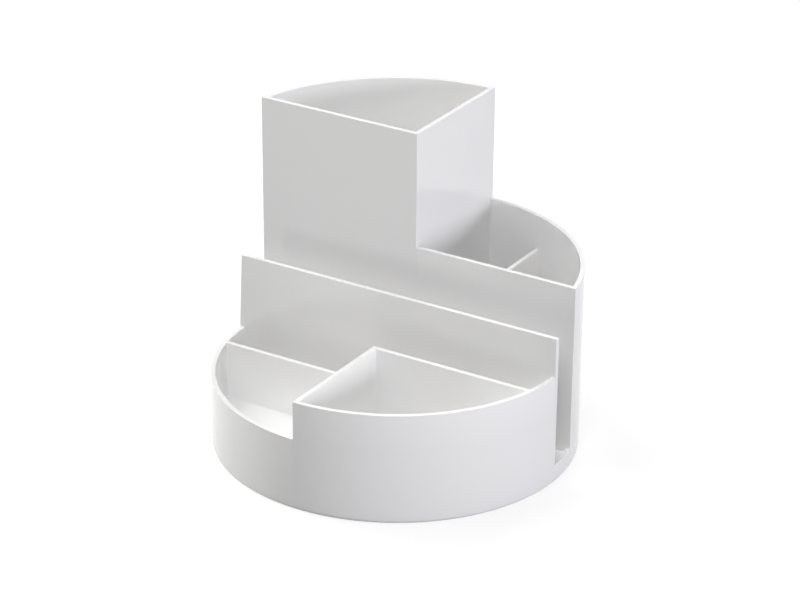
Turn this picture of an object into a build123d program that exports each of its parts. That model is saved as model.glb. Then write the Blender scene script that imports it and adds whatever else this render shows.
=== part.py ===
"""Round desk organizer in gloss white plastic.

A pen cup and two rear compartments stand behind a letter slot that runs right across the round
base; a long trough and two front trays stand before it. The millimetre is the unit, +Z is up, the
origin is the middle of the underside, the letter slot runs along X and the trays face -Y.

The outer wall has a moulding draft: it leans out as it rises, so the rim of the pen cup is the
widest circle. Every upright stands on the floor plate or on the base skirt, and neighbours meet
face to face.
"""

from build123d import *
import os

# Round plan.
RIM_DIAMETER = 140.0  # widest circle, at the rim of the pen cup
OUTWARD_LEAN = 0.005  # radius gained for each millimetre of height
WALL = 1.8  # thickness of every upright

# Heights above the surface that the organizer stands on.
CUP_RIM = 119.0
REAR_RIM = 73.4
SLOT_PANEL_TOP = 59.5
REAR_DIVIDER_TOP = 59.5
CORNER_TRAY_RIM = 43.9
LOW_TRAY_RIM = 28.8
SILL_TOP = 7.3
FLOOR_TOP = 5.7
FLOOR_THICKNESS = 2.0

# Places of the straight uprights.
SLOT_REAR_Y = 13.2  # slot face of the panel behind the letter slot
SLOT_FRONT_Y = -0.35  # slot face of the panel before the letter slot
TRAY_BACK_Y = -14.9  # trough face of the wall behind the two front trays
CUP_SIDE_X = 0.4  # outer face of the pen cup's side wall
TRAY_DIVIDER_X = -0.4  # low tray's side of the divider between the front trays
REAR_DIVIDER_X = 24.0  # middle of the divider between the rear compartments

# Small shapes.
RIM_ROUND = 0.35  # rounding along both edges of every rim
FOOT_ROUND = 1.5  # rounding round the bottom of the skirt
PANEL_END_LEAN = 0.04  # inward lean of the slot panel's left end above the low rim

BASE_RADIUS = RIM_DIAMETER / 2 - OUTWARD_LEAN * CUP_RIM
REACH = RIM_DIAMETER  # longer than anything that is cut to the round plan


def outer_radius(height):
    """Radius of the outer skin at a height."""
    return BASE_RADIUS + OUTWARD_LEAN * height


def inner_radius(height):
    """Radius of the inner face of the outer wall at a height."""
    return outer_radius(height) - WALL


def draw_ring_section(bottom, top):
    """Draw the outer wall's section between two heights, in a sketch on Plane.XZ."""
    Polygon(
        (inner_radius(bottom), bottom),
        (outer_radius(bottom), bottom),
        (outer_radius(top), top),
        (inner_radius(top), top),
        align=None,
    )


def round_core(radius_at, bottom, top):
    """Solid of revolution that fills a drafted circle between two heights."""
    with BuildPart() as core:
        with BuildSketch(Plane.XZ):
            Polygon((0, bottom), (radius_at(bottom), bottom), (radius_at(top), top), (0, top), align=None)
        revolve(axis=Axis.Z)
    return core.part


def curved_wall(bottom, top, x_span, y_span):
    """Stretch of the outer wall over a rectangle of the plan, with a rounded rim."""
    with BuildPart() as wall:
        with BuildSketch(Plane.XZ) as section:
            draw_ring_section(bottom, top)
            fillet(section.vertices().group_by(Axis.Y)[-1], RIM_ROUND)
        revolve(axis=Axis.Z)
        with BuildSketch(Plane.XY.offset(bottom)):
            with Locations((x_span[0], y_span[0])):
                Rectangle(x_span[1] - x_span[0], y_span[1] - y_span[0], align=Align.MIN)
        extrude(amount=top - bottom, mode=Mode.INTERSECT)
    return wall


def straight_wall(x_span, y_span, top, limit):
    """Upright plate that stands on the floor, has a rounded rim and ends at a round solid."""
    along = Axis.X if x_span[1] - x_span[0] > y_span[1] - y_span[0] else Axis.Y
    with BuildPart() as wall:
        with BuildSketch(Plane.XY.offset(FLOOR_TOP)):
            with Locations((x_span[0], y_span[0])):
                Rectangle(x_span[1] - x_span[0], y_span[1] - y_span[0], align=Align.MIN)
        extrude(amount=top - FLOOR_TOP)
        fillet(wall.edges().group_by(Axis.Z)[-1].filter_by(along), RIM_ROUND)
        add(limit, mode=Mode.INTERSECT)
    return wall


def write(name, piece):
    """Label a finished piece and write its STEP file."""
    piece.part.label = name
    export_step(piece.part, f"parts/{name}.step")


# The space inside the outer skin, and the space inside the outer wall.
WITHIN_SKIN = round_core(outer_radius, 0, CUP_RIM)
WITHIN_WALL = round_core(inner_radius, 0, CUP_RIM)

# Plan spans that more than one upright shares.
REAR_PANEL_SPAN = (SLOT_REAR_Y, SLOT_REAR_Y + WALL)
FRONT_PANEL_SPAN = (SLOT_FRONT_Y - WALL, SLOT_FRONT_Y)
TRAY_BACK_SPAN = (TRAY_BACK_Y - WALL, TRAY_BACK_Y)
CUP_SIDE_SPAN = (CUP_SIDE_X - WALL, CUP_SIDE_X)
TRAY_DIVIDER_SPAN = (TRAY_DIVIDER_X, TRAY_DIVIDER_X + WALL)
REAR_DIVIDER_SPAN = (REAR_DIVIDER_X - WALL / 2, REAR_DIVIDER_X + WALL / 2)

# Base: a skirt that the organizer stands on, with a floor plate raised inside it.
with BuildPart() as base_skirt:
    with BuildSketch(Plane.XZ) as skirt_section:
        draw_ring_section(0, FLOOR_TOP)
        fillet(skirt_section.vertices().group_by(Axis.Y)[0].sort_by(Axis.X)[-1], FOOT_ROUND)
    revolve(axis=Axis.Z)

with BuildPart() as floor_plate:
    add(round_core(inner_radius, FLOOR_TOP - FLOOR_THICKNESS, FLOOR_TOP))

# Letter slot: a low sill at each open end, a free-standing front panel and a rear panel.
SLOT_SPAN = (SLOT_FRONT_Y, SLOT_REAR_Y)
slot_sill_left = curved_wall(FLOOR_TOP, SILL_TOP, (-REACH, 0), SLOT_SPAN)
slot_sill_right = curved_wall(FLOOR_TOP, SILL_TOP, (0, REACH), SLOT_SPAN)

with BuildPart() as slot_front_panel:
    add(straight_wall((-REACH, REACH), FRONT_PANEL_SPAN, SLOT_PANEL_TOP, WITHIN_SKIN).part)
    free_end = Plane(
        origin=(-outer_radius(LOW_TRAY_RIM), 0, LOW_TRAY_RIM),
        x_dir=(0, 1, 0),
        z_dir=(1, 0, -PANEL_END_LEAN),
    )
    split(bisect_by=free_end, keep=Keep.TOP)

slot_rear_panel = straight_wall((CUP_SIDE_X, REACH), REAR_PANEL_SPAN, REAR_RIM, WITHIN_SKIN)

# Pen cup: the rear left quarter, closed by a front wall, a side wall and the round outer wall.
cup_front_wall = straight_wall((-REACH, CUP_SIDE_X), REAR_PANEL_SPAN, CUP_RIM, WITHIN_SKIN)
cup_side_wall = straight_wall(CUP_SIDE_SPAN, (REAR_PANEL_SPAN[1], REACH), CUP_RIM, WITHIN_WALL)
cup_outer_wall = curved_wall(
    FLOOR_TOP, CUP_RIM, (-REACH, CUP_SIDE_X), (REAR_PANEL_SPAN[1], REACH)
)

# Rear compartments: the round outer wall and a lower divider between the two.
rear_outer_wall = curved_wall(
    FLOOR_TOP, REAR_RIM, (CUP_SIDE_X, REACH), (REAR_PANEL_SPAN[1], REACH)
)
rear_divider = straight_wall(
    REAR_DIVIDER_SPAN, (REAR_PANEL_SPAN[1], REACH), REAR_DIVIDER_TOP, WITHIN_WALL
)

# Front trays: a low one on the left and a deeper one at the right corner. Their outer walls run
# back to the slot's front panel and so close both ends of the trough behind the trays.
low_tray_outer_wall = curved_wall(
    FLOOR_TOP, LOW_TRAY_RIM, (-REACH, TRAY_DIVIDER_X), (-REACH, FRONT_PANEL_SPAN[0])
)
corner_tray_outer_wall = curved_wall(
    FLOOR_TOP, CORNER_TRAY_RIM, (TRAY_DIVIDER_X, REACH), (-REACH, FRONT_PANEL_SPAN[0])
)
low_tray_back_wall = straight_wall(
    (-REACH, TRAY_DIVIDER_X), TRAY_BACK_SPAN, LOW_TRAY_RIM, WITHIN_WALL
)
corner_tray_back_wall = straight_wall(
    (TRAY_DIVIDER_X, REACH), TRAY_BACK_SPAN, CORNER_TRAY_RIM, WITHIN_WALL
)
tray_divider = straight_wall(
    TRAY_DIVIDER_SPAN, (-REACH, TRAY_BACK_SPAN[0]), CORNER_TRAY_RIM, WITHIN_WALL
)

PIECES = {
    "base_skirt": base_skirt,
    "floor_plate": floor_plate,
    "slot_sill_left": slot_sill_left,
    "slot_sill_right": slot_sill_right,
    "slot_front_panel": slot_front_panel,
    "slot_rear_panel": slot_rear_panel,
    "cup_front_wall": cup_front_wall,
    "cup_side_wall": cup_side_wall,
    "cup_outer_wall": cup_outer_wall,
    "rear_outer_wall": rear_outer_wall,
    "rear_divider": rear_divider,
    "low_tray_outer_wall": low_tray_outer_wall,
    "corner_tray_outer_wall": corner_tray_outer_wall,
    "low_tray_back_wall": low_tray_back_wall,
    "corner_tray_back_wall": corner_tray_back_wall,
    "tray_divider": tray_divider,
}

os.makedirs("parts", exist_ok=True)
for piece_name, finished in PIECES.items():
    write(piece_name, finished)
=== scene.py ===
"""Visual model of a round desk organizer: one white moulding, shown as its named walls.

The plan of the moulding is drawn once, as cells of floor and wall. A Geometry Nodes tree raises
every cell to its own height and leans the round skin out, a bevel rounds the edges, and the
finished moulding is parted just beyond its joins, so that each wall is a piece of its own whose
corners still flow into its neighbours.
"""

from __future__ import annotations

import logging
import math
from collections.abc import Iterable
from dataclasses import dataclass, field
from enum import Enum, IntEnum
from typing import ClassVar

import bmesh
import bpy
import numpy as np
from bmesh.types import BMEdge, BMesh, BMFace, BMVert
from bpy.types import Material, Mesh, Node, NodeSocket, NodeTree, Object
from mathutils import Matrix, Vector
from mathutils.geometry import delaunay_2d_cdt


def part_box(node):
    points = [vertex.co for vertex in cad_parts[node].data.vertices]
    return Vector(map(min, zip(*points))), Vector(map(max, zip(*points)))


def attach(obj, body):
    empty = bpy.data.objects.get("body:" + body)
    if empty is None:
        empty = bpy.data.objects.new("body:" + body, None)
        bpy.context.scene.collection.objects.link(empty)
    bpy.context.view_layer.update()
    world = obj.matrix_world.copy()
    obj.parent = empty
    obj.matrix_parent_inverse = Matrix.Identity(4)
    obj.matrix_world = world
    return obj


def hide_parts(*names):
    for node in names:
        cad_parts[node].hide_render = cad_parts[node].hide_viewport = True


LOG = logging.getLogger("desk_organizer")

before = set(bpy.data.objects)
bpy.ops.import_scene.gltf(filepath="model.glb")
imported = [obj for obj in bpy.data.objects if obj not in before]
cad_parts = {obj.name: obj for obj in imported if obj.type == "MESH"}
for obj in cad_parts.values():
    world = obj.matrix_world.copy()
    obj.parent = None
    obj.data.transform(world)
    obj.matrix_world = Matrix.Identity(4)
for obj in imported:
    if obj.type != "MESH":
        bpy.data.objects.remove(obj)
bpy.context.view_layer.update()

BODY = "root"


class Storey(IntEnum):
    """Levels that the cells of the plan stop at, from the floor up."""

    FLOOR = 1
    SILL = 2
    LOW_RIM = 3
    CORNER_RIM = 4
    SLOT_TOP = 5
    REAR_RIM = 6
    CUP_RIM = 7

    @property
    def title(self) -> str:
        """Name of the storey as a socket shows it."""
        return self.name.replace("_", " ").title()


class Side(Enum):
    """The part of the outer circle that a straight line of the plan crosses."""

    FRONT = "front"
    RIGHT = "right"
    REAR = "rear"
    LEFT = "left"


@dataclass(frozen=True)
class Span:
    """A low and a high limit along one axis."""

    low: float
    high: float

    @classmethod
    def of(cls, node: str, axis: str) -> "Span":
        """Limits of a node's box along an axis."""
        return cls(*(getattr(end, axis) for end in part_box(node)))

    def grown(self, extra: float) -> "Span":
        """The same span, longer at both ends."""
        return Span(self.low - extra, self.high + extra)


def add_object(name: str, data: bpy.types.ID) -> Object:
    """Put a mesh, light or camera into the scene under a name."""
    holder = bpy.data.objects.new(name, data)
    bpy.context.scene.collection.objects.link(holder)
    return holder


LEVEL_NODES = {
    Storey.FLOOR: "floor_plate",
    Storey.SILL: "slot_sill_left",
    Storey.LOW_RIM: "low_tray_back_wall",
    Storey.CORNER_RIM: "tray_divider",
    Storey.SLOT_TOP: "slot_front_panel",
    Storey.REAR_RIM: "slot_rear_panel",
    Storey.CUP_RIM: "cup_side_wall",
}


@dataclass(frozen=True)
class Measures:
    """Sizes of the moulding in metres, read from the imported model's nodes."""

    levels: dict[Storey, float]
    underside: float
    base_radius: float
    wall: float
    lean: float
    rear_panel: Span
    slot_panel: Span
    tray_back: Span
    cup_side: Span
    tray_divider: Span
    rear_divider: Span
    free_end_lean: float = 0.04

    @classmethod
    def from_frame(cls) -> "Measures":
        """Read every size from the boxes of the nodes.

        Returns:
            The sizes of the moulding.
        """
        floor_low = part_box("floor_plate")[0]
        skirt_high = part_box("base_skirt")[1]
        slot_low, slot_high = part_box("slot_front_panel")
        lean = (slot_high.x - skirt_high.x) / (slot_high.z - skirt_high.z)
        return cls(
            levels={storey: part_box(node)[1].z for storey, node in LEVEL_NODES.items()},
            underside=floor_low.z,
            base_radius=skirt_high.x - lean * skirt_high.z,
            wall=slot_high.y - slot_low.y,
            lean=lean,
            rear_panel=Span.of("slot_rear_panel", "y"),
            slot_panel=Span.of("slot_front_panel", "y"),
            tray_back=Span.of("low_tray_back_wall", "y"),
            cup_side=Span.of("cup_side_wall", "x"),
            tray_divider=Span.of("tray_divider", "x"),
            rear_divider=Span.of("rear_divider", "x"),
        )

    def skin_radius(self, height: float) -> float:
        """Radius of the outer skin at a height above the surface."""
        return self.base_radius + self.lean * height


@dataclass(frozen=True)
class Crossing:
    """A place where a straight line of the plan crosses the round outer wall.

    Attributes:
        name: What the plan calls it.
        side: Which part of the circle it is on.
        place: Where the line is, as a y on the left and right and an x at the front and rear.
        through: Whether the line runs on to the outer skin.
        storey: Level of the outer wall from this crossing to the next, anticlockwise.
    """

    name: str
    side: Side
    place: float
    through: bool
    storey: Storey

    def angle(self, radius: float) -> float:
        """Angle of the crossing on a circle, from half a turn before the front to after it.

        Args:
            radius: Radius of the circle.

        Returns:
            The angle in radians, rising anticlockwise from the front.
        """
        if self.side is Side.RIGHT:
            return math.asin(self.place / radius)
        if self.side is Side.LEFT:
            return math.pi - math.asin(self.place / radius)
        if self.side is Side.REAR:
            return math.acos(self.place / radius)
        return -math.acos(self.place / radius)

    def slide(self, angle: float) -> Vector:
        """How a corner at an angle moves along the line as the circle's radius grows by one."""
        if self.side in (Side.LEFT, Side.RIGHT):
            return Vector((1 / math.cos(angle), 0, 0))
        return Vector((0, 1 / math.sin(angle), 0))


@dataclass
class MouldPlan:
    """Plan of the moulding: flat cells of wall and floor, each with the storey it stops at."""

    measures: Measures
    facet: float = 0.0007
    mesh: BMesh = field(init=False)
    inner: list[BMVert] = field(init=False, default_factory=list)
    outer: list[BMVert] = field(init=False, default_factory=list)
    starts: dict[str, int] = field(init=False, default_factory=dict)
    bend: dict[str, BMVert] = field(init=False, default_factory=dict)

    def crossings(self) -> list[Crossing]:
        """List every crossing of the outer wall, anticlockwise from the step at the front.

        Returns:
            The crossings in order.
        """
        m = self.measures
        low, corner, slot = Storey.LOW_RIM, Storey.CORNER_RIM, Storey.SLOT_TOP
        sill, rear, cup = Storey.SILL, Storey.REAR_RIM, Storey.CUP_RIM
        return [
            Crossing("step", Side.FRONT, m.tray_divider.low, True, corner),
            Crossing("tray_divider", Side.FRONT, m.tray_divider.high, False, corner),
            Crossing("tray_back_front_r", Side.RIGHT, m.tray_back.low, False, corner),
            Crossing("tray_back_rear_r", Side.RIGHT, m.tray_back.high, False, corner),
            Crossing("slot_panel_front_r", Side.RIGHT, m.slot_panel.low, True, slot),
            Crossing("slot_panel_rear_r", Side.RIGHT, m.slot_panel.high, True, sill),
            Crossing("rear_panel_front_r", Side.RIGHT, m.rear_panel.low, True, rear),
            Crossing("rear_panel_rear_r", Side.RIGHT, m.rear_panel.high, False, rear),
            Crossing("rear_divider_r", Side.REAR, m.rear_divider.high, False, rear),
            Crossing("rear_divider_l", Side.REAR, m.rear_divider.low, False, rear),
            Crossing("cup_side_r", Side.REAR, m.cup_side.high, True, cup),
            Crossing("cup_side_l", Side.REAR, m.cup_side.low, False, cup),
            Crossing("rear_panel_rear_l", Side.LEFT, m.rear_panel.high, False, cup),
            Crossing("rear_panel_front_l", Side.LEFT, m.rear_panel.low, True, sill),
            Crossing("slot_panel_rear_l", Side.LEFT, m.slot_panel.high, True, slot),
            Crossing("slot_panel_front_l", Side.LEFT, m.slot_panel.low, True, low),
            Crossing("tray_back_rear_l", Side.LEFT, m.tray_back.high, False, low),
            Crossing("tray_back_front_l", Side.LEFT, m.tray_back.low, False, low),
        ]

    def build(self) -> Object:
        """Draw the plan as a flat mesh object.

        Returns:
            An object whose faces hold a storey and a ring mark, and whose corners hold a slide.
        """
        self.mesh = bmesh.new()
        self.storey = self.mesh.faces.layers.int.new("storey")
        self.on_ring = self.mesh.faces.layers.bool.new("ring")
        self.slide = self.mesh.verts.layers.float_vector.new("slide")
        self.free_end = self.mesh.verts.layers.float.new("free_end")
        self.draw_ring()
        self.draw_cells()
        mesh = bpy.data.meshes.new("mould_plan")
        self.mesh.to_mesh(mesh)
        self.mesh.free()
        return add_object("mould_plan", mesh)

    def draw_ring(self) -> None:
        """Draw the round outer wall as one ring of small cells."""
        inner_radius = self.measures.base_radius - self.measures.wall
        outer_radius = self.measures.base_radius
        crossings = self.crossings()
        storeys: list[Storey] = []
        for number, start in enumerate(crossings):
            stop = crossings[(number + 1) % len(crossings)]
            turn = 2 * math.pi if stop is crossings[0] else 0.0
            inner_from, inner_to = start.angle(inner_radius), stop.angle(inner_radius) + turn
            outer_from = start.angle(outer_radius) if start.through else inner_from
            outer_to = stop.angle(outer_radius) + turn if stop.through else inner_to
            steps = max(1, round((inner_to - inner_from) * outer_radius / self.facet))
            self.starts[start.name] = len(self.inner)
            for step in range(steps):
                share = step / steps
                inner_angle = inner_from + (inner_to - inner_from) * share
                outer_angle = outer_from + (outer_to - outer_from) * share
                on_line = start if step == 0 else None
                self.inner.append(self.ring_corner(inner_radius, inner_angle, on_line))
                skin_line = on_line if start.through else None
                self.outer.append(self.ring_corner(outer_radius, outer_angle, skin_line))
                storeys.append(start.storey)
        first, last = self.starts["slot_panel_rear_l"], self.starts["slot_panel_front_l"]
        for corner in self.outer[first : last + 1]:
            corner[self.free_end] = 1.0
        for number, storey in enumerate(storeys):
            after = (number + 1) % len(storeys)
            corners = [self.inner[number], self.outer[number], self.outer[after], self.inner[after]]
            cell = self.mesh.faces.new(corners)
            cell[self.storey] = storey
            cell[self.on_ring] = True

    def ring_corner(self, radius: float, angle: float, line: Crossing | None) -> BMVert:
        """Put one corner on a circle of the plan.

        Args:
            radius: Radius of the circle.
            angle: Angle of the corner in radians.
            line: The straight line that the corner also lies on, if any.

        Returns:
            The corner, with the way that it slides as the circle grows.
        """
        outward = Vector((math.cos(angle), math.sin(angle), 0))
        corner = self.mesh.verts.new(outward * radius)
        corner[self.slide] = line.slide(angle) if line else outward
        return corner

    def arc(self, start: str, stop: str) -> list[BMVert]:
        """Corners of the inner circle from one crossing to another, anticlockwise."""
        first, last = self.starts[start], self.starts[stop]
        if last < first:
            last += len(self.inner)
        return [self.inner[number % len(self.inner)] for number in range(first, last + 1)]

    def outline(self, stops: tuple) -> list[BMVert]:
        """Corners round a cell.

        Args:
            stops: Names of corners, and pairs of crossings for stretches of the inner circle.

        Returns:
            The corners in order.
        """
        corners: list[BMVert] = []
        for stop in stops:
            corners += [self.bend[stop]] if isinstance(stop, str) else self.arc(*stop)
        return corners

    def draw_cells(self) -> None:
        """Draw the straight walls and the floors inside the ring."""
        m = self.measures
        self.bend = {
            name: self.mesh.verts.new((x, y, 0))
            for name, x, y in (
                ("cup_in", m.cup_side.low, m.rear_panel.high),
                ("cup_out", m.cup_side.high, m.rear_panel.high),
                ("cup_step", m.cup_side.high, m.rear_panel.low),
                ("divider_l", m.rear_divider.low, m.rear_panel.high),
                ("divider_r", m.rear_divider.high, m.rear_panel.high),
                ("tray_step", m.tray_divider.low, m.tray_back.high),
                ("tray_l", m.tray_divider.low, m.tray_back.low),
                ("tray_r", m.tray_divider.high, m.tray_back.low),
            )
        }
        floor, low, corner = Storey.FLOOR, Storey.LOW_RIM, Storey.CORNER_RIM
        slot, rear, cup = Storey.SLOT_TOP, Storey.REAR_RIM, Storey.CUP_RIM
        rear_panel_end = ("rear_panel_front_r", "rear_panel_rear_r")
        tray_back_end = ("tray_back_front_r", "tray_back_rear_r")
        slot_ends = (
            ("slot_panel_rear_l", "slot_panel_front_l"),
            ("slot_panel_front_r", "slot_panel_rear_r"),
        )
        slot_floor_ends = (
            ("rear_panel_front_l", "slot_panel_rear_l"),
            ("slot_panel_rear_r", "rear_panel_front_r"),
        )
        cells = (
            (floor, "cup_in", ("cup_side_l", "rear_panel_rear_l")),
            (cup, "cup_in", "cup_out", ("cup_side_r", "cup_side_l")),
            (cup, "cup_step", "cup_out", "cup_in", ("rear_panel_rear_l", "rear_panel_front_l")),
            (floor, "cup_out", "divider_l", ("rear_divider_l", "cup_side_r")),
            (slot, "divider_l", "divider_r", ("rear_divider_r", "rear_divider_l")),
            (floor, "divider_r", ("rear_panel_rear_r", "rear_divider_r")),
            (rear, "cup_step", rear_panel_end, "divider_r", "divider_l", "cup_out"),
            (floor, "cup_step", *slot_floor_ends),
            (slot, *slot_ends),
            (
                floor,
                ("slot_panel_front_l", "tray_back_rear_l"),
                "tray_step",
                ("tray_back_rear_r", "slot_panel_front_r"),
            ),
            (low, "tray_step", ("tray_back_rear_l", "tray_back_front_l"), "tray_l"),
            (corner, "tray_step", "tray_l", "tray_r", tray_back_end),
            (floor, "tray_l", ("tray_back_front_l", "step")),
            (corner, "tray_l", ("step", "tray_divider"), "tray_r"),
            (floor, "tray_r", ("tray_divider", "tray_back_front_r")),
        )
        for storey, *stops in cells:
            cell = self.mesh.faces.new(self.outline(stops))
            cell[self.storey] = storey


class NodeSketch:
    """A node tree under construction, with nodes added and wired in one call."""

    def __init__(self, tree: NodeTree) -> None:
        """Start on the tree that receives the nodes."""
        self.tree = tree

    def add(self, kind: str, settings: dict | None = None, **inputs: object) -> Node:
        """Add a node, set it up and wire its inputs.

        Args:
            kind: Type of the node.
            settings: Properties of the node to set first.
            **inputs: A value or an output socket for each input, by its name with underscores
                for spaces, or by its number after the letter i.

        Returns:
            The new node.
        """
        node = self.tree.nodes.new(kind)
        for name, value in (settings or {}).items():
            setattr(node, name, value)
        for name, value in inputs.items():
            if name[0] == "i" and name[1:].isdigit():
                socket = node.inputs[int(name[1:])]
            else:
                socket = node.inputs[name.replace("_", " ")]
            self.wire(socket, value)
        return node

    def wire(self, socket: NodeSocket, value: object) -> None:
        """Feed a socket from another node's output, or set its own value.

        Args:
            socket: The input socket.
            value: An output socket, a node whose first output is meant, or a plain value.
        """
        if isinstance(value, Node):
            value = value.outputs[0]
        if isinstance(value, NodeSocket):
            self.tree.links.new(value, socket)
        else:
            socket.default_value = value

    def group(self, tree: NodeTree, **inputs: object) -> NodeSocket:
        """Place a shader node group, wired as in add, and return its first output."""
        return self.add("ShaderNodeGroup", {"node_tree": tree}, **inputs).outputs[0]

    def math(self, operation: str, first: object, second: object = 0.0) -> NodeSocket:
        """Add a Math node and return its result.

        Args:
            operation: Name of the operation.
            first: First operand.
            second: Second operand, unused by one-sided operations.

        Returns:
            The result socket.
        """
        return self.add("ShaderNodeMath", {"operation": operation}, i0=first, i1=second).outputs[0]


@dataclass(frozen=True)
class EdgeRounding:
    """Radii of the moulding's edges in metres."""

    rim: float = 0.00018
    corner: float = 0.0004
    foot: float = 0.0015
    segments: int = 4


class RaisingTree(NodeSketch):
    """Geometry Nodes tree that raises each cell of a plan to its own storey."""

    WELD_DISTANCE = 1e-6
    FOOT_LEVEL = 1e-5

    def __init__(self, sizes: Iterable[str], crease_angle: float) -> None:
        """Build the tree.

        Args:
            sizes: Names of the inputs that take a size.
            crease_angle: Angle in radians from which an edge is rounded.
        """
        tree = bpy.data.node_groups.new("raise_mould_plan", "GeometryNodeTree")
        super().__init__(tree)
        self.crease_angle = crease_angle
        face = tree.interface
        face.new_socket("Geometry", in_out="OUTPUT", socket_type="NodeSocketGeometry")
        face.new_socket("Geometry", in_out="INPUT", socket_type="NodeSocketGeometry")
        for name in sizes:
            face.new_socket(name, in_out="INPUT", socket_type="NodeSocketFloat")
        face.new_socket("Material", in_out="INPUT", socket_type="NodeSocketMaterial")
        self.given = given = tree.nodes.new("NodeGroupInput").outputs
        lift = self.upward(given["Underside"])
        start = self.add("GeometryNodeSetPosition", Geometry=given["Geometry"], Offset=lift)
        both = self.add("GeometryNodeJoinGeometry")
        for half in (self.raise_storeys(start.outputs[0]), self.drop_skirt(start.outputs[0])):
            tree.links.new(half, both.inputs[0])
        closed = self.add("GeometryNodeMergeByDistance", Geometry=both, Distance=self.WELD_DISTANCE)
        creased = self.weigh_edges(self.lean_skin(closed.outputs[0]))
        real = self.add("GeometryNodeRealizeInstances", Geometry=creased)
        dressed = self.add("GeometryNodeSetMaterial", Geometry=real, Material=given["Material"])
        result = tree.nodes.new("NodeGroupOutput")
        tree.links.new(dressed.outputs[0], result.inputs[0])

    def upward(self, height: object) -> NodeSocket:
        """Turn a height into a vector along +Z."""
        return self.add("ShaderNodeCombineXYZ", Z=height).outputs[0]

    def attribute(self, kind: str, name: str) -> NodeSocket:
        """Read a named attribute of the mesh."""
        node = self.add("GeometryNodeInputNamedAttribute", {"data_type": kind}, Name=name)
        return node.outputs["Attribute"]

    def vector(self, operation: str, **inputs: object) -> Node:
        """Add a Vector Math node."""
        return self.add("ShaderNodeVectorMath", {"operation": operation}, **inputs)

    def raise_storeys(self, start: NodeSocket) -> NodeSocket:
        """Raise the plan one storey at a time, and leave behind the cells that stop there.

        Args:
            start: The flat plan at the level of the underside.

        Returns:
            The upper skin.
        """
        solid, top, below = start, None, self.given["Underside"]
        storey_of_cell = self.attribute("INT", "storey")
        for storey in Storey:
            level = self.given[storey.title]
            reaches = self.add(
                "FunctionNodeCompare",
                {"data_type": "INT", "operation": "GREATER_EQUAL"},
                i2=storey_of_cell,
                i3=int(storey),
            ).outputs[0]
            if top is not None:
                both = {"operation": "AND"}
                reaches = self.add("FunctionNodeBooleanMath", both, i0=reaches, i1=top).outputs[0]
            raised = self.extrude(solid, reaches, self.math("SUBTRACT", level, below))
            solid, top, below = raised.outputs["Mesh"], raised.outputs["Top"], level
        return solid

    def extrude(self, mesh: object, selection: NodeSocket, rise: NodeSocket) -> Node:
        """Draw the chosen cells up, or down, all together."""
        return self.add(
            "GeometryNodeExtrudeMesh",
            {"mode": "FACES"},
            Mesh=mesh,
            Selection=selection,
            Offset=self.upward(rise),
            Individual=False,
        )

    def drop_skirt(self, start: NodeSocket) -> NodeSocket:
        """Turn the plan over and draw its ring down to the surface it stands on.

        Args:
            start: The flat plan at the level of the underside.

        Returns:
            The lower skin.
        """
        turned = self.add("GeometryNodeFlipFaces", Mesh=start)
        drop = self.math("MULTIPLY", self.given["Underside"], -1.0)
        return self.extrude(turned, self.attribute("BOOLEAN", "ring"), drop).outputs["Mesh"]

    def lean_skin(self, skin: NodeSocket) -> NodeSocket:
        """Lean the round wall out and the slot panel's free end in.

        Args:
            skin: The closed upright skin.

        Returns:
            The skin with its moulding draft.
        """
        given = self.given
        place = self.add("GeometryNodeInputPosition")
        height = self.add("ShaderNodeSeparateXYZ", Vector=place).outputs["Z"]
        growth = self.math("MULTIPLY", height, given["Outward Lean"])
        slide = self.attribute("FLOAT_VECTOR", "slide")
        spread = self.vector("SCALE", Vector=slide, Scale=growth)
        above = self.math("MAXIMUM", self.math("SUBTRACT", height, given["Low Rim"]), 0.0)
        both_leans = self.math("ADD", given["Free End Lean"], given["Outward Lean"])
        pulled = self.math("MULTIPLY", above, both_leans)
        free = self.attribute("FLOAT", "free_end")
        inward = self.add("ShaderNodeCombineXYZ", X=self.math("MULTIPLY", pulled, free))
        offset = self.vector("ADD", i0=spread, i1=inward)
        return self.add("GeometryNodeSetPosition", Geometry=skin, Offset=offset).outputs[0]

    def weigh_edges(self, skin: NodeSocket) -> NodeSocket:
        """Store how wide each edge is rounded, as a share of the foot's radius.

        Args:
            skin: The skin with sharp edges.

        Returns:
            The skin with its bevel weights.
        """
        given = self.given
        angle = self.add("GeometryNodeInputMeshEdgeAngle").outputs["Signed Angle"]
        convex = self.math("GREATER_THAN", angle, self.crease_angle)
        concave = self.math("LESS_THAN", angle, -self.crease_angle)
        place = self.add("GeometryNodeInputPosition")
        apart = self.add("ShaderNodeSeparateXYZ", Vector=place).outputs
        flat = self.add("ShaderNodeCombineXYZ", X=apart["X"], Y=apart["Y"])
        radius = self.vector("LENGTH", i0=flat).outputs["Value"]
        half_wall = self.math("MULTIPLY", given["Wall"], 0.5)
        skin_limit = self.math("SUBTRACT", given["Base Radius"], half_wall)
        outside = self.math("GREATER_THAN", radius, skin_limit)
        at_foot = self.math("LESS_THAN", apart["Z"], self.FOOT_LEVEL)
        foot = self.math("MULTIPLY", convex, self.math("MULTIPLY", outside, at_foot))
        rim = self.math("SUBTRACT", convex, foot)
        weight = foot
        for mask, radius_name in ((rim, "Rim Round"), (concave, "Corner Fillet")):
            share = self.math("DIVIDE", given[radius_name], given["Foot Round"])
            weight = self.math("ADD", weight, self.math("MULTIPLY", mask, share))
        return self.add(
            "GeometryNodeStoreNamedAttribute",
            {"data_type": "FLOAT", "domain": "EDGE"},
            Geometry=skin,
            Name="bevel_weight_edge",
            Value=weight,
        ).outputs[0]


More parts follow.
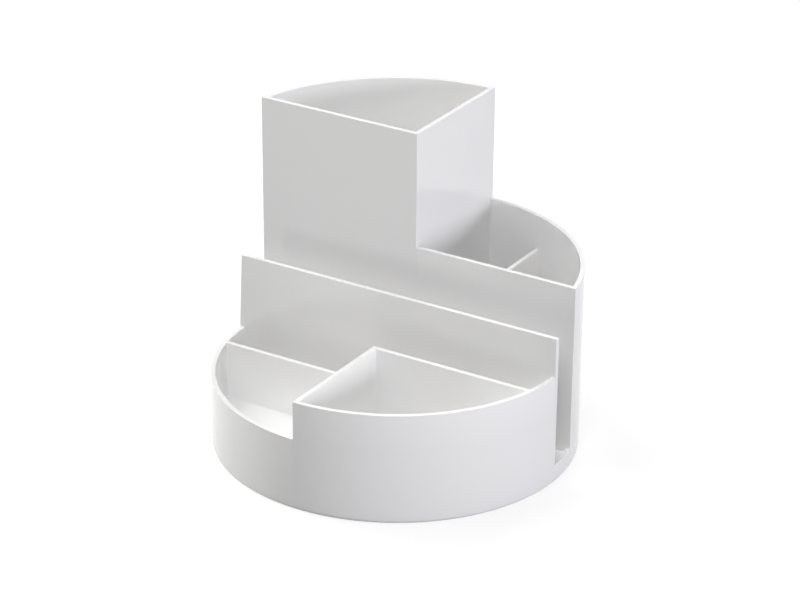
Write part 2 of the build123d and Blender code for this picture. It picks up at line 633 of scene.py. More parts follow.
@dataclass
class MouldSkin:
    """Skin of the whole moulding, raised from its plan and rounded."""

    measures: Measures
    rounding: EdgeRounding = EdgeRounding()
    crease_angle: float = math.radians(30)

    def sizes(self) -> dict[str, float]:
        """Name every size that the raising tree takes, with its value in metres.

        Returns:
            The value of each named input.
        """
        m = self.measures
        return {
            **{storey.title: m.levels[storey] for storey in Storey},
            "Underside": m.underside,
            "Base Radius": m.base_radius,
            "Wall": m.wall,
            "Outward Lean": m.lean,
            "Free End Lean": m.free_end_lean,
            "Rim Round": self.rounding.rim,
            "Corner Fillet": self.rounding.corner,
            "Foot Round": self.rounding.foot,
        }

    def build(self, plan: Object, material: Material) -> Mesh:
        """Raise and round the skin of the moulding.

        Args:
            plan: The plan's object, which is used up.
            material: The finish of the moulding.

        Returns:
            The closed mesh of the whole moulding.
        """
        settings = {**self.sizes(), "Material": material}
        raising = plan.modifiers.new("raise", "NODES")
        raising.node_group = RaisingTree(self.sizes(), self.crease_angle).tree
        for item in raising.node_group.interface.items_tree:
            if item.in_out == "INPUT" and item.name in settings:
                raising[item.identifier] = settings[item.name]
        rounding = plan.modifiers.new("round", "BEVEL")
        rounding.width = self.rounding.foot
        rounding.segments = self.rounding.segments
        rounding.limit_method = "WEIGHT"
        rounding.use_clamp_overlap = False
        rounding.miter_outer = "MITER_SHARP"
        depsgraph = bpy.context.evaluated_depsgraph_get()
        mesh = bpy.data.meshes.new_from_object(plan.evaluated_get(depsgraph))
        flat = plan.data
        plan.modifiers.clear()
        bpy.data.objects.remove(plan)
        bpy.data.meshes.remove(flat)
        return mesh


@dataclass(frozen=True)
class Parting:
    """A flat cut across one upright wall.

    Attributes:
        axis: Axis that the cut is square to, 0 for X and 1 for Y.
        place: Where the cut is on that axis.
        window: Limits of the cut along the other horizontal axis.
    """

    axis: int
    place: float
    window: Span

    def holds(self, point: Vector, slack: float) -> bool:
        """Say whether a point lies in the window and at most the slack off the plane."""
        along = point[1 - self.axis]
        near = abs(point[self.axis] - self.place) < slack
        return near and self.window.low < along < self.window.high


@dataclass
class MouldPartings:
    """Parts the finished moulding into its named walls and closes each of them."""

    measures: Measures
    clear: float = 0.0006
    slack: float = 1e-6
    past_skin: float = 1.1
    ends_from: float = 0.8
    PLANE_DISTANCE: ClassVar[float] = 1e-8
    CORNER_DISTANCE: ClassVar[float] = 1e-9
    levels: list[float] = field(init=False)
    uprights: list[Parting] = field(init=False)

    def __post_init__(self) -> None:
        """Place the level cuts under and over the floor plate, and the upright cuts."""
        m = self.measures
        floor, sill = m.levels[Storey.FLOOR], m.levels[Storey.SILL]
        self.levels = [m.underside - self.clear, (floor + sill) / 2 + self.clear / 6]
        self.uprights = self.upright_cuts()

    def upright_cuts(self) -> list[Parting]:
        """Every cut across an upright, a little way beyond the join that it serves.

        Returns:
            The cuts.
        """
        m, clear = self.measures, self.clear
        reach = m.base_radius * self.past_skin
        inner = m.base_radius - m.wall
        left, right = Span(-reach, -reach * self.ends_from), Span(reach * self.ends_from, reach)
        behind = m.rear_panel.high + clear
        tray_front = m.tray_back.low - clear
        back_end = math.sqrt(inner**2 - m.tray_back.low**2) - clear
        divider_end = math.sqrt(inner**2 - m.rear_divider.high**2) - clear
        rear_band, tray_band = m.rear_panel.grown(clear), m.tray_back.grown(clear)
        side_band = m.cup_side.grown(clear)
        rear_divider_band = m.rear_divider.grown(clear)
        tray_divider_band = m.tray_divider.grown(clear)
        cuts = [
            Parting(1, behind, side_band),
            Parting(1, inner - clear, side_band),
            Parting(0, m.cup_side.high + clear, rear_band),
            Parting(0, m.cup_side.high + clear, right),
            Parting(1, behind, rear_divider_band),
            Parting(1, divider_end, rear_divider_band),
            Parting(0, -back_end, tray_band),
            Parting(0, back_end, tray_band),
            Parting(0, m.tray_divider.low - clear, tray_band),
            Parting(0, m.tray_divider.low - clear, left),
            Parting(1, tray_front, tray_divider_band),
            Parting(1, -inner + clear, tray_divider_band),
        ]
        slot_low, slot_high = m.slot_panel.low - clear, m.slot_panel.high + clear
        for end in (left, right):
            for place in (behind, slot_high, m.rear_panel.low - clear, slot_low):
                cuts.append(Parting(1, place, end))
        return cuts

    def part(self, skin: Mesh) -> list[BMesh]:
        """Part the moulding along all of its cuts.

        Args:
            skin: The closed mesh of the whole moulding.

        Returns:
            One closed mesh for each wall.
        """
        whole = bmesh.new()
        whole.from_mesh(skin)
        for level in self.levels:
            self.score(whole, list(whole.faces), 2, level)
        for cut in self.uprights:
            self.score(whole, self.faces_in(whole, cut), cut.axis, cut.place)
        bmesh.ops.split_edges(whole, edges=[edge for edge in whole.edges if self.on_seam(edge)])
        parts = [self.lift(group) for group in self.groups(whole)]
        whole.free()
        for part in parts:
            self.close(part)
        return parts

    def faces_in(self, whole: BMesh, cut: Parting) -> list[BMFace]:
        """Faces of the uprights that lie inside a cut's window.

        Args:
            whole: The moulding.
            cut: The cut.

        Returns:
            The faces that the cut may cross.
        """
        across, window, foot = 1 - cut.axis, cut.window, self.levels[-1] - self.slack

        def inside(place: Vector) -> bool:
            """Say whether a corner is in the window and above the base."""
            return window.low < place[across] < window.high and place.z > foot

        return [face for face in whole.faces if all(inside(end.co) for end in face.verts)]

    @classmethod
    def score(cls, whole: BMesh, faces: list[BMFace], axis: int, place: float) -> None:
        """Add edges where a plane crosses some faces, without parting them.

        Args:
            whole: The moulding.
            faces: The faces to score.
            axis: Axis that the plane is square to.
            place: Where the plane is on that axis.
        """
        edges = dict.fromkeys(edge for face in faces for edge in face.edges)
        corners = dict.fromkeys(corner for face in faces for corner in face.verts)
        normal = Vector((0, 0, 0))
        normal[axis] = 1
        plane = {"plane_co": normal * place, "plane_no": normal, "dist": cls.PLANE_DISTANCE}
        bmesh.ops.bisect_plane(whole, geom=[*faces, *edges, *corners], **plane)

    def on_seam(self, edge: BMEdge) -> bool:
        """Say whether an edge lies on one of the cuts.

        Args:
            edge: The edge.

        Returns:
            True on a cut.
        """
        ends = [corner.co for corner in edge.verts]
        if any(all(abs(end.z - level) < self.slack for end in ends) for level in self.levels):
            return True
        if any(end.z < self.levels[-1] - self.slack for end in ends):
            return False
        return any(all(cut.holds(end, self.slack) for end in ends) for cut in self.uprights)

    @staticmethod
    def islands(whole: BMesh) -> list[list[BMFace]]:
        """Group the faces that still hang together.

        Args:
            whole: The parted moulding.

        Returns:
            The faces of each part.
        """
        left, groups = dict.fromkeys(whole.faces), []
        while left:
            frontier = [left.popitem()[0]]
            group = list(frontier)
            while frontier:
                face = frontier.pop()
                for edge in face.edges:
                    for other in edge.link_faces:
                        if other in left:
                            del left[other]
                            group.append(other)
                            frontier.append(other)
            groups.append(sorted(group, key=lambda member: member.index))
        return groups

    def groups(self, whole: BMesh) -> list[list[BMFace]]:
        """Group the faces of each part, with every floor of the base in one group.

        Args:
            whole: The parted moulding.

        Returns:
            The faces of each part.
        """
        base: list[BMFace] = []
        groups = [base]
        low, high = self.levels[0] - self.slack, self.levels[1] + self.slack
        for island in self.islands(whole):
            heights = [corner.co.z for face in island for corner in face.verts]
            if low < min(heights) and max(heights) < high:
                base.extend(island)
            else:
                groups.append(island)
        return groups

    @staticmethod
    def lift(faces: list[BMFace]) -> BMesh:
        """Copy some faces into a mesh of their own.

        Args:
            faces: The faces of one part.

        Returns:
            The part, still open where it was cut.
        """
        part = bmesh.new()
        copies: dict[BMVert, BMVert] = {}
        for face in faces:
            for corner in face.verts:
                if corner not in copies:
                    copies[corner] = part.verts.new(corner.co)
            part.faces.new([copies[corner] for corner in face.verts])
        return part

    def close(self, part: BMesh) -> None:
        """Cap a part where it was cut and leave its other faces smooth.

        Args:
            part: The open part.
        """
        for face in part.faces:
            face.smooth = True
        slack, foot = self.slack, self.levels[-1]
        rises = max(corner.co.z for corner in part.verts) > foot + slack
        uprights = self.uprights if rises else []
        for cut in uprights:
            ends = [corner for corner in part.verts if cut.holds(corner.co, slack)]
            feet = [corner for corner in ends if abs(corner.co.z - foot) < slack]
            if len(feet) == 2:
                part.edges.new(feet)
        planes = [(2, lambda at, level=level: abs(at.z - level) < slack) for level in self.levels]
        planes += [(cut.axis, lambda at, cut=cut: cut.holds(at, slack)) for cut in uprights]
        for axis, on_plane in planes:
            rim = [
                edge
                for edge in part.edges
                if len(edge.link_faces) < 2 and all(on_plane(end.co) for end in edge.verts)
            ]
            if rim:
                self.cap(part, rim, axis)
        bmesh.ops.recalc_face_normals(part, faces=part.faces)

    @classmethod
    def cap(cls, part: BMesh, rim: list[BMEdge], axis: int) -> None:
        """Fill a flat cut, which may have holes in it.

        Args:
            part: The open part.
            rim: The edges round the cut and round its holes.
            axis: Axis that the cut is square to.
        """
        corners = list({end: None for edge in rim for end in edge.verts})
        number = {corner: index for index, corner in enumerate(corners)}
        flat = [Vector([corner.co[i] for i in range(3) if i != axis]) for corner in corners]
        links = [tuple(number[end] for end in edge.verts) for edge in rim]
        whole_hull = 0
        filled = delaunay_2d_cdt(flat, links, [], whole_hull, cls.CORNER_DISTANCE, True)
        source = [origins[0] for origins in filled[3]]
        triangles = np.array([[source[index] for index in triangle] for triangle in filled[2]])
        places = np.array([point[:] for point in flat])
        middle = places[triangles].mean(axis=1)[:, None, :]
        start, stop = places[np.array(links)].transpose(1, 0, 2)
        beside = (start[:, 1] > middle[..., 1]) != (stop[:, 1] > middle[..., 1])
        rise = np.where(stop[:, 1] == start[:, 1], 1.0, stop[:, 1] - start[:, 1])
        reach = start[:, 0] + (middle[..., 1] - start[:, 1]) * (stop[:, 0] - start[:, 0]) / rise
        inside = (beside & (middle[..., 0] < reach)).sum(axis=1) % 2 == 1
        for edge in rim:
            edge.smooth = False
        for triangle in triangles[inside]:
            part.faces.new([corners[index] for index in triangle])


@dataclass
class MouldWalls:
    """The parted moulding, with each wall under the name of the node that it stands for."""

    parts: list[BMesh]

    def by_node(self) -> dict[str, BMesh]:
        """Give each part the name of the node that lies nearest to it.

        Returns:
            The part of each node.
        """
        boxes = {name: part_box(name) for name in sorted(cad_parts)}
        pairs = sorted(
            (self.gap(part, box), name, number)
            for number, part in enumerate(self.parts)
            for name, box in boxes.items()
        )
        walls: dict[str, BMesh] = {}
        taken: set[int] = set()
        for _, name, number in pairs:
            if name not in walls and number not in taken:
                walls[name] = self.parts[number]
                taken.add(number)
        return walls

    @staticmethod
    def gap(part: BMesh, box: tuple[Vector, Vector]) -> float:
        """Add up how far the six sides of a part's box are from those of another box.

        Args:
            part: The part.
            box: Lowest and highest corner of the other box.

        Returns:
            The sum in metres.
        """
        total = 0.0
        for axis in range(3):
            places = [corner.co[axis] for corner in part.verts]
            total += abs(min(places) - box[0][axis]) + abs(max(places) - box[1][axis])
        return total


@dataclass(frozen=True)
class EffectTree:
    """A shader node group under construction, with its named sockets."""

    name: str
    output: tuple[str, str]
    floats: tuple[str, ...]
    colours: tuple[str, ...] = ()

    def start(self) -> tuple[NodeSketch, bpy.types.NodeOutputs, NodeSocket]:
        """Make the group and its two end nodes.

        Returns:
            A sketch on the group, the sockets that bring its inputs and the one that takes its
            output.
        """
        tree = bpy.data.node_groups.new(self.name, "ShaderNodeTree")
        sockets = [("Place", "INPUT", "Vector"), (self.output[0], "OUTPUT", self.output[1])]
        sockets += [(name, "INPUT", "Color") for name in self.colours]
        sockets += [(name, "INPUT", "Float") for name in self.floats]
        for name, end, kind in sockets:
            tree.interface.new_socket(name, in_out=end, socket_type="NodeSocket" + kind)
        given = tree.nodes.new("NodeGroupInput").outputs
        result = tree.nodes.new("NodeGroupOutput").inputs
        return NodeSketch(tree), given, result[0]


class SurfaceEffects:
    """Shader node groups that the finishes of the moulding share."""

    PATCHES_PER_METRE = 70.0

    def __init__(self) -> None:
        """Build every group once."""
        self.ripple = self.build_ripple()
        self.hairlines = self.build_hairlines()
        self.polish = self.build_polish()
        self.resin = self.build_resin()

    @staticmethod
    def noise(sketch: NodeSketch, place: object, scale: object, detail: float) -> Node:
        """Add a noise texture with a given number of details."""
        return sketch.add("ShaderNodeTexNoise", Vector=place, Scale=scale, Detail=detail)

    @staticmethod
    def swing(sketch: NodeSketch, place: object, size: object, depth: object) -> object:
        """Add a noise that swings either side of nought.

        Args:
            sketch: The group under construction.
            place: Socket with the place on the surface.
            size: Socket with the length of one swing.
            depth: Socket with the full height of the swing.

        Returns:
            The height socket.
        """
        scale = sketch.math("DIVIDE", 1.0, size)
        noise = sketch.add(
            "ShaderNodeTexNoise", Vector=place, Scale=scale, Detail=1.5, Roughness=0.4
        )
        return sketch.math("MULTIPLY", sketch.math("SUBTRACT", noise, 0.5), depth)

    def build_ripple(self) -> NodeTree:
        """Build the slight waviness of a moulded wall and the fine grain of its polish."""
        sketch, given, result = EffectTree(
            "mould_ripple",
            ("Height", "Float"),
            ("Wave Size", "Wave Depth", "Grain Size", "Grain Depth"),
        ).start()
        place = given["Place"]
        wave = self.swing(sketch, place, given["Wave Size"], given["Wave Depth"])
        grain = self.swing(sketch, place, given["Grain Size"], given["Grain Depth"])
        sketch.wire(result, sketch.math("ADD", wave, grain))
        return sketch.tree

    def build_hairlines(self) -> NodeTree:
        """Build the faint hairlines that handling leaves in the gloss."""
        sketch, given, result = EffectTree(
            "rub_hairlines",
            ("Mask", "Float"),
            ("Rubbed", "Line Length", "Line Spacing", "Sharpness"),
        ).start()
        along = sketch.math("DIVIDE", 1.0, given["Line Length"])
        across = sketch.math("DIVIDE", 1.0, given["Line Spacing"])
        stretch = sketch.add("ShaderNodeCombineXYZ", X=across, Y=across, Z=along)
        stretched = sketch.add(
            "ShaderNodeVectorMath", {"operation": "MULTIPLY"}, i0=given["Place"], i1=stretch
        )
        noise = self.noise(sketch, stretched, scale=1.0, detail=2.0)
        off_line = sketch.math("ABSOLUTE", sketch.math("SUBTRACT", noise, 0.5))
        line = sketch.math("SUBTRACT", 1.0, sketch.math("MULTIPLY", off_line, given["Sharpness"]))
        patch = self.noise(sketch, given["Place"], self.PATCHES_PER_METRE, detail=1.0)
        broken = sketch.math("MULTIPLY", sketch.math("MAXIMUM", line, 0.0), patch)
        sketch.wire(result, sketch.math("MULTIPLY", broken, given["Rubbed"]))
        return sketch.tree

    def build_polish(self) -> NodeTree:
        """Build the slow change between bright and duller gloss."""
        sketch, given, result = EffectTree(
            "polish_drift",
            ("Roughness", "Float"),
            ("Patch Size", "Polished", "Dulled", "Marks"),
        ).start()
        scale = sketch.math("DIVIDE", 1.0, given["Patch Size"])
        noise = self.noise(sketch, given["Place"], scale, detail=3.0)
        span = sketch.math("SUBTRACT", given["Dulled"], given["Polished"])
        share = sketch.math("ADD", noise, given["Marks"])
        drift = sketch.math("MULTIPLY", span, share)
        sketch.wire(result, sketch.math("ADD", given["Polished"], drift))
        return sketch.tree

    def build_resin(self) -> NodeTree:
        """Build the drift of the resin's white, and the painted highlight that makes the thin rims
        lighter.
        """
        sketch, given, result = EffectTree(
            "resin_drift",
            ("Color", "Color"),
            ("Rim", "Patch Size"),
            ("Cool White", "Warm White", "Rim White"),
        ).start()
        scale = sketch.math("DIVIDE", 1.0, given["Patch Size"])
        noise = self.noise(sketch, given["Place"], scale, detail=2.0)
        colour = {"data_type": "RGBA", "clamp_factor": True}
        drift = sketch.add(
            "ShaderNodeMix",
            colour,
            i0=noise.outputs[0],
            i6=given["Cool White"],
            i7=given["Warm White"],
        )
        # painted highlight: the rim mask lays a lighter white on the thin rims, standing in for the
        # top light catching them
        whole = sketch.add(
            "ShaderNodeMix", colour, i0=given["Rim"], i6=drift.outputs[2], i7=given["Rim White"]
        )
        sketch.wire(result, whole.outputs[2])
        return sketch.tree


class Finish(Enum):
    """Finishes of the moulding's surfaces, in the order of a piece's material slots."""

    WALL = "gloss_wall"
    TRAY_FLOOR = "tray_floor"
    UNDERSIDE = "satin_underside"


@dataclass(frozen=True)
class MouldFinish:
    """White resin with one kind of polish.

    Attributes:
        polished: Roughness where the gloss is brightest.
        dulled: Roughness where the gloss is dullest.
        wave_depth: Height of the slow waviness in metres.
        grain_size: Length of one swing of the grain in metres.
        grain_depth: Height of the grain in metres.
        line_depth: Depth of the hairlines in metres.
    """

    polished: float
    dulled: float
    wave_depth: float
    grain_size: float
    grain_depth: float
    line_depth: float
    wave_size: float = 0.024
    patch_size: float = 0.03
    resin_size: float = 0.045
    line_length: float = 0.03
    line_spacing: float = 0.0006
    sharpness: float = 14.0
    cool_white: tuple[float, float, float, float] = (0.930, 0.934, 0.938, 1.0)
    warm_white: tuple[float, float, float, float] = (0.940, 0.935, 0.926, 1.0)
    # painted highlight colour, laid on the thin rims so that they read as top-lit
    rim_white: tuple[float, float, float, float] = (0.98, 0.98, 0.975, 1.0)
    refraction: float = 1.56

    def given(self, *names: str) -> dict[str, object]:
        """Name some of the finish's values as a group's inputs are named."""
        return {name.title(): getattr(self, name) for name in names}

    def build(self, name: str, effects: SurfaceEffects) -> Material:
        """Build the material.

        Args:
            name: Name of the material.
            effects: The shared shader groups.

        Returns:
            The material.
        """
        material = bpy.data.materials.new(name)
        material.use_nodes = True
        material.diffuse_color = self.warm_white
        tree = material.node_tree
        tree.nodes.clear()
        sketch = NodeSketch(tree)
        place = sketch.add("ShaderNodeTexCoord").outputs["Object"]
        rubbed = sketch.add("ShaderNodeAttribute", {"attribute_name": "rubbed"}).outputs["Fac"]
        # mask of the painted rim highlight
        rim = sketch.add("ShaderNodeAttribute", {"attribute_name": "rim"}).outputs["Fac"]
        lines = sketch.group(
            effects.hairlines,
            Place=place,
            Rubbed=rubbed,
            **self.given("line_length", "line_spacing", "sharpness"),
        )
        ripple = sketch.group(
            effects.ripple,
            Place=place,
            **self.given("wave_size", "wave_depth", "grain_size", "grain_depth"),
        )
        cut = sketch.math("MULTIPLY", lines, self.line_depth)
        height = sketch.math("SUBTRACT", ripple, cut)
        roughness = sketch.group(
            effects.polish,
            Place=place,
            Marks=lines,
            **self.given("patch_size", "polished", "dulled"),
        )
        colour = sketch.group(
            effects.resin,
            Place=place,
            Rim=rim,
            Patch_Size=self.resin_size,
            **self.given("cool_white", "warm_white", "rim_white"),
        )
        bump = sketch.add("ShaderNodeBump", Strength=1.0, Distance=1.0, Height=height)
        shader = sketch.add(
            "ShaderNodeBsdfPrincipled",
            Base_Color=colour,
            Roughness=roughness,
            IOR=self.refraction,
            Normal=bump,
        )
        sketch.add("ShaderNodeOutputMaterial", Surface=shader)
        return material


FINISHES = {
    Finish.WALL: MouldFinish(
        polished=0.05,
        dulled=0.12,
        wave_depth=0.00003,
        grain_size=0.0016,
        grain_depth=0.0000006,
        line_depth=0.0000003,
    ),
    Finish.TRAY_FLOOR: MouldFinish(
        polished=0.12,
        dulled=0.22,
        wave_depth=0.00002,
        grain_size=0.0009,
        grain_depth=0.000001,
        line_depth=0.0000004,
    ),
    Finish.UNDERSIDE: MouldFinish(
        polished=0.42,
        dulled=0.55,
        wave_depth=0.00003,
        grain_size=0.0004,
        grain_depth=0.000008,
        line_depth=0.000002,
    ),
}


@dataclass
class SubAssembly:
    """Walls of the moulding that do one job together."""

    measures: Measures
    walls: dict[str, BMesh]
    materials: dict[Finish, Material]
    # depth of the band under each rim that gets the painted highlight
    rim_band: float = 0.0003
    touch: float = 0.0001
    least_rub: float = 0.2

    NODES: ClassVar[tuple[str, ...]] = ()

    def rim_level(self, node: str) -> float:
        """Height of the rim that a wall ends at."""
        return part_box(node)[1].z

    def rubbed(self, place: Vector) -> float:
        """Say how much handling a place gets, as a share from 0 to 1."""
        return self.least_rub

    def finish_of(self, face: bpy.types.MeshPolygon) -> Finish:
        """Choose the finish of a face."""
        return Finish.WALL

    def build(self) -> list[Object]:
        """Make and dress every piece.

        Returns:
            The pieces.
        """
        pieces = []
        for node in self.NODES:
            piece = self.make_piece(node)
            self.dress(piece, node)
            pieces.append(piece)
        return pieces

    def make_piece(self, node: str) -> Object:
        """Turn a parted wall into an object whose flat faces shade flat.

        Args:
            node: The node that the wall stands for.

        Returns:
            The object.
        """
        mesh = bpy.data.meshes.new(node + "_moulding")
        self.walls[node].to_mesh(mesh)
        self.walls[node].free()
        piece = add_object(node + "_moulding", mesh)
        shading = piece.modifiers.new("shading", "WEIGHTED_NORMAL")
        shading.keep_sharp = True
        depsgraph = bpy.context.evaluated_depsgraph_get()
        shaded = bpy.data.meshes.new_from_object(piece.evaluated_get(depsgraph))
        piece.modifiers.clear()
        piece.data = shaded
        bpy.data.meshes.remove(mesh)
        shaded.name = node + "_moulding"
        return piece

    def dress(self, piece: Object, node: str) -> None:
        """Give a piece its materials and the masks that they read: the painted rim highlight and
        the handling wear.

        Args:
            piece: The piece.
            node: The node that the piece stands for.
        """
        mesh = piece.data
        mesh.materials.clear()
        for finish in Finish:
            mesh.materials.append(self.materials[finish])
        order = list(Finish)
        for face in mesh.polygons:
            face.material_index = order.index(self.finish_of(face))
        # the rim mask marks where the painted rim highlight goes
        level = self.rim_level(node) - self.rim_band
        rim = mesh.attributes.new("rim", "FLOAT", "POINT")
        rubbed = mesh.attributes.new("rubbed", "FLOAT", "POINT")
        for number, corner in enumerate(mesh.vertices):
            rim.data[number].value = 1.0 if corner.co.z > level else 0.0
            rubbed.data[number].value = self.rubbed(corner.co)


@dataclass
class Base(SubAssembly):
    """Floor plate and the skirt under it."""

    NODES = ("floor_plate", "base_skirt")
    foot_wear: float = 0.004
    floor_rub: float = 0.5
    looks_up: float = 0.5
    looks_down: float = -0.9
    flush: float = 1e-5

    def rim_level(self, node: str) -> float:
        """Height above every face, so that the base, which has no rim, gets no painted rim
        highlight.
        """
        return self.measures.levels[Storey.CUP_RIM]

    def rubbed(self, place: Vector) -> float:
        """Wear the foot and the tray floors."""
        return 1.0 if place.z < self.foot_wear else self.floor_rub

    def finish_of(self, face: bpy.types.MeshPolygon) -> Finish:
        """Choose the finish by the way that a face looks."""
        inside = math.hypot(*face.center[:2]) < self.measures.base_radius - self.measures.wall
        if face.normal.z > self.looks_up and inside:
            return Finish.TRAY_FLOOR
        below = face.center.z < self.measures.underside + self.flush
        if below and (inside or face.normal.z < self.looks_down):
            return Finish.UNDERSIDE
        return Finish.WALL


@dataclass
class LetterSlot(SubAssembly):
    """The two panels that hold letters and the sills at the slot's open ends."""

    NODES = ("slot_front_panel", "slot_rear_panel", "slot_sill_left", "slot_sill_right")
    rub_reach: float = 0.03
    deep_rub: float = 0.3

    def rubbed(self, place: Vector) -> float:
        """Rub the slot's faces most near their rims, where paper slides in."""
        m, touch = self.measures, self.touch
        if not m.slot_panel.high - touch < place.y < m.rear_panel.low + touch:
            return self.least_rub
        below = m.levels[Storey.SLOT_TOP] - place.z
        return min(1.0, max(self.deep_rub, 1.0 - below / self.rub_reach))


@dataclass
class PenCup(SubAssembly):
    """The tall corner cup."""

    NODES = ("cup_front_wall", "cup_side_wall", "cup_outer_wall")
    pen_reach: float = 0.02
    pen_rub: float = 0.8

    def rubbed(self, place: Vector) -> float:
        """Rub the inside near the rim, where pens lean."""
        m, touch = self.measures, self.touch
        below = m.levels[Storey.CUP_RIM] - place.z
        inside = place.y > m.rear_panel.high - touch and place.x < m.cup_side.low + touch
        return self.pen_rub if inside and below < self.pen_reach else self.least_rub


@dataclass
class RearCompartments(SubAssembly):
    """The two compartments beside the cup."""

    NODES = ("rear_outer_wall", "rear_divider")


@dataclass
class FrontTrays(SubAssembly):
    """The long trough and the two front trays."""

    NODES = (
        "low_tray_outer_wall",
        "corner_tray_outer_wall",
        "low_tray_back_wall",
        "corner_tray_back_wall",
        "tray_divider",
    )
    grip_level: float = 0.022
    grip_rub: float = 0.8
    inside_rub: float = 0.25
    skin_rub: float = 0.3

    def rubbed(self, place: Vector) -> float:
        """Rub the outer skin at the height where it is gripped."""
        skin = self.measures.skin_radius(place.z) - self.measures.wall / 2
        if math.hypot(place.x, place.y) < skin:
            return self.inside_rub
        faded = self.grip_rub - abs(place.z - self.grip_level) / self.grip_level
        return max(self.skin_rub, faded)


@dataclass(frozen=True)
class Softbox:
    """A flat, soft light that faces the organizer.

    Attributes:
        name: Name of the light.
        bearing: Compass place in degrees, 0 before the trays and 90 at the slot's right end.
        elevation: Height above the floor in degrees.
        distance: Distance from the target in metres.
        width: Width in metres.
        height: Height in metres.
        power: Power in watts.
        colour: Colour of the light.
    """

    name: str
    bearing: float
    elevation: float
    distance: float
    width: float
    height: float
    power: float
    colour: tuple[float, float, float] = (1.0, 1.0, 1.0)

    def build(self, target: Vector) -> None:
        """Hang the light.

        Args:
            target: The point that it faces.
        """
        light = bpy.data.lights.new(self.name, "AREA")
        light.shape = "RECTANGLE"
        light.size, light.size_y = self.width, self.height
        light.energy, light.color = self.power, self.colour
        holder = add_object(self.name, light)
        back = Studio.direction(self.bearing, self.elevation)
        holder.location = target + back * self.distance
        holder.rotation_euler = back.to_track_quat("Z", "Y").to_euler()


SOFTBOXES = (
    Softbox("low_beside_left", -86.0, 3.0, 1.5, 0.3, 0.15, 8.21, (0.979, 1, 0.954)),
    Softbox("low_right", 86.0, 5.0, 1.5, 0.3, 0.3, 9.79, (0.943, 0.937, 1)),
    Softbox("steep_left", -72.0, 68.0, 1.5, 0.5, 0.5, 5.33, (0.995, 1, 0.985)),
    Softbox("high_left", -100.0, 48.0, 1.5, 0.6, 0.6, 7.04, (0.957, 0.979, 1)),
    Softbox("high_front_left", -50.0, 40.0, 1.5, 0.6, 0.6, 1.94, (1, 0.973, 0.9)),
    Softbox("high_camera", 32.0, 48.0, 1.5, 0.6, 0.6, 8.90, (1, 0.987, 0.993)),
    Softbox("high_rear", -165.0, 48.0, 1.5, 0.6, 0.6, 7.94, (0.993, 1, 0.989)),
)


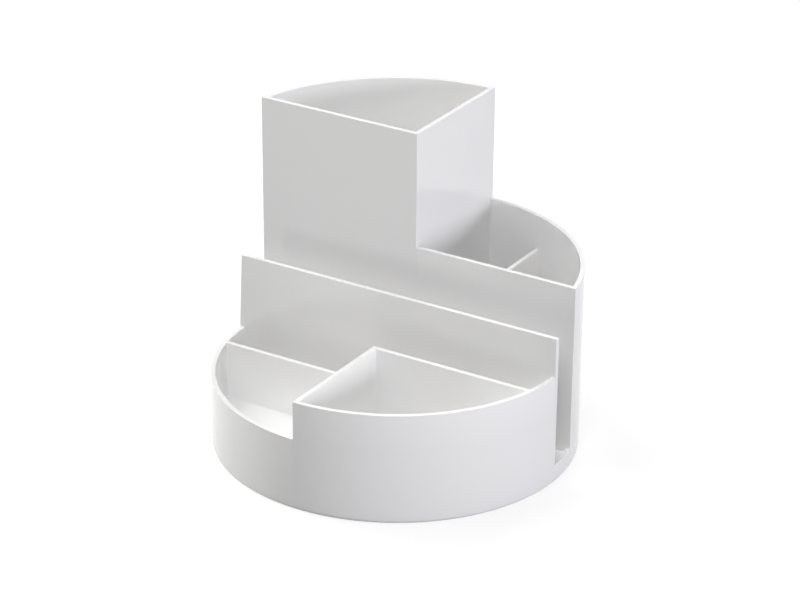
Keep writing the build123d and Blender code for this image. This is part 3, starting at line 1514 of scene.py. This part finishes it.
@dataclass(frozen=True)
class Studio:
    """Floor, light and camera.

    Attributes:
        bearing: Compass place of the camera in degrees.
        elevation: Height of the camera above the horizon in degrees.
        distance: Distance from the target in metres.
        target: The point that the camera faces.
        roll: Turn about the line of sight in degrees.
        lens: Focal length in millimetres.
        shift: Sideways and upward shift of the lens.
        floor_radius: Radius of the floor in metres.
        floor_sides: Number of the floor's sides.
        floor_drop: How far the floor lies under the organizer in metres.
        floor_white: Colour of the floor.
        floor_glow: Strength of the floor's own light.
        ambient: Strength of the light from all round.
        ambient_colour: Colour of the light from all round.
        sensor: Width of the camera's sensor in millimetres.
        depth: Nearest and farthest distance that the camera sees in metres.
    """

    bearing: float = 31.75
    elevation: float = 25.04
    distance: float = 1.208
    target: tuple[float, float, float] = (0.0, 0.0, 0.0565)
    roll: float = 0.42
    lens: float = 145.98
    shift: tuple[float, float] = (0.0046, 0.0011)
    floor_radius: float = 4.0
    floor_sides: int = 96
    floor_drop: float = 1e-5
    floor_white: tuple[float, float, float, float] = (0.3, 0.3, 0.3, 1.0)
    floor_glow: float = 0.75
    ambient: float = 0.065
    ambient_colour: tuple[float, float, float] = (1.000, 0.947, 0.996)
    sensor: float = 36.0
    depth: tuple[float, float] = (0.01, 20.0)

    @staticmethod
    def direction(bearing: float, elevation: float) -> Vector:
        """Point from the target towards a place round it.

        Args:
            bearing: Compass place in degrees.
            elevation: Height above the horizon in degrees.

        Returns:
            A unit vector.
        """
        around, up = math.radians(bearing), math.radians(elevation)
        flat = math.cos(up)
        return Vector((math.sin(around) * flat, -math.cos(around) * flat, math.sin(up)))

    def build(self) -> None:
        """Build the whole studio."""
        self.lay_floor()
        for softbox in SOFTBOXES:
            softbox.build(Vector(self.target))
        self.light_room()
        self.place_camera()
        bpy.context.scene.view_settings.view_transform = "Standard"

    def lay_floor(self) -> None:
        """Lay a plain pale floor just under the organizer."""
        drawn = bmesh.new()
        sides, radius = self.floor_sides, self.floor_radius
        bmesh.ops.create_circle(drawn, cap_ends=True, segments=sides, radius=radius)
        mesh = bpy.data.meshes.new("floor")
        drawn.to_mesh(mesh)
        drawn.free()
        mesh.transform(Matrix.Translation((0, 0, -self.floor_drop)))
        floor = add_object("floor", mesh)
        material = bpy.data.materials.new("pale_floor")
        material.use_nodes = True
        material.node_tree.nodes.clear()
        sketch = NodeSketch(material.node_tree)
        paper = sketch.add("ShaderNodeBsdfDiffuse", Color=self.floor_white)
        path = sketch.add("ShaderNodeLightPath").outputs
        seen = sketch.math("MAXIMUM", path["Is Camera Ray"], path["Is Glossy Ray"])
        strength = sketch.math("MULTIPLY", seen, self.floor_glow)
        glow = sketch.add("ShaderNodeEmission", Strength=strength)
        both = sketch.add("ShaderNodeAddShader", i0=paper, i1=glow)
        sketch.add("ShaderNodeOutputMaterial", Surface=both)
        mesh.materials.append(material)

    def light_room(self) -> None:
        """Fill the room with soft light from all round."""
        world = bpy.data.worlds.new("studio")
        world.use_nodes = True
        backdrop = world.node_tree.nodes["Background"]
        backdrop.inputs["Color"].default_value = (*self.ambient_colour, 1.0)
        backdrop.inputs["Strength"].default_value = self.ambient
        bpy.context.scene.world = world

    def place_camera(self) -> None:
        """Place the camera."""
        back = self.direction(self.bearing, self.elevation)
        around, roll = math.radians(self.bearing), math.radians(self.roll)
        right = Vector((math.cos(around), math.sin(around), 0))
        up = back.cross(right)
        right, up = (
            right * math.cos(roll) + up * math.sin(roll),
            up * math.cos(roll) - right * math.sin(roll),
        )
        lens = bpy.data.cameras.new("camera")
        lens.lens, lens.sensor_width = self.lens, self.sensor
        lens.shift_x, lens.shift_y = self.shift
        lens.clip_start, lens.clip_end = self.depth
        camera = add_object("camera", lens)
        turn = Matrix((right, up, back)).transposed().to_4x4()
        place = Vector(self.target) + back * self.distance
        camera.matrix_world = Matrix.Translation(place) @ turn
        bpy.context.scene.camera = camera


def main() -> None:
    """Build the organizer, piece by piece, and the studio round it."""
    logging.basicConfig(level=logging.INFO, format="%(name)s: %(message)s")
    measures = Measures.from_frame()
    effects = SurfaceEffects()
    materials = {
        finish: FINISHES[finish].build(finish.value, effects) for finish in Finish
    }
    plan = MouldPlan(measures).build()
    skin = MouldSkin(measures).build(plan, materials[Finish.WALL])
    walls = MouldWalls(MouldPartings(measures).part(skin)).by_node()
    bpy.data.meshes.remove(skin)
    for kind in (Base, LetterSlot, PenCup, RearCompartments, FrontTrays):
        assembly = kind(measures, walls, materials)
        for piece, node in zip(assembly.build(), kind.NODES):
            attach(piece, BODY)
            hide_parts(node)
            LOG.info("%s: %s, %d faces", kind.__name__, piece.name, len(piece.data.polygons))
    Studio().build()


if __name__ == "__main__":
    main()
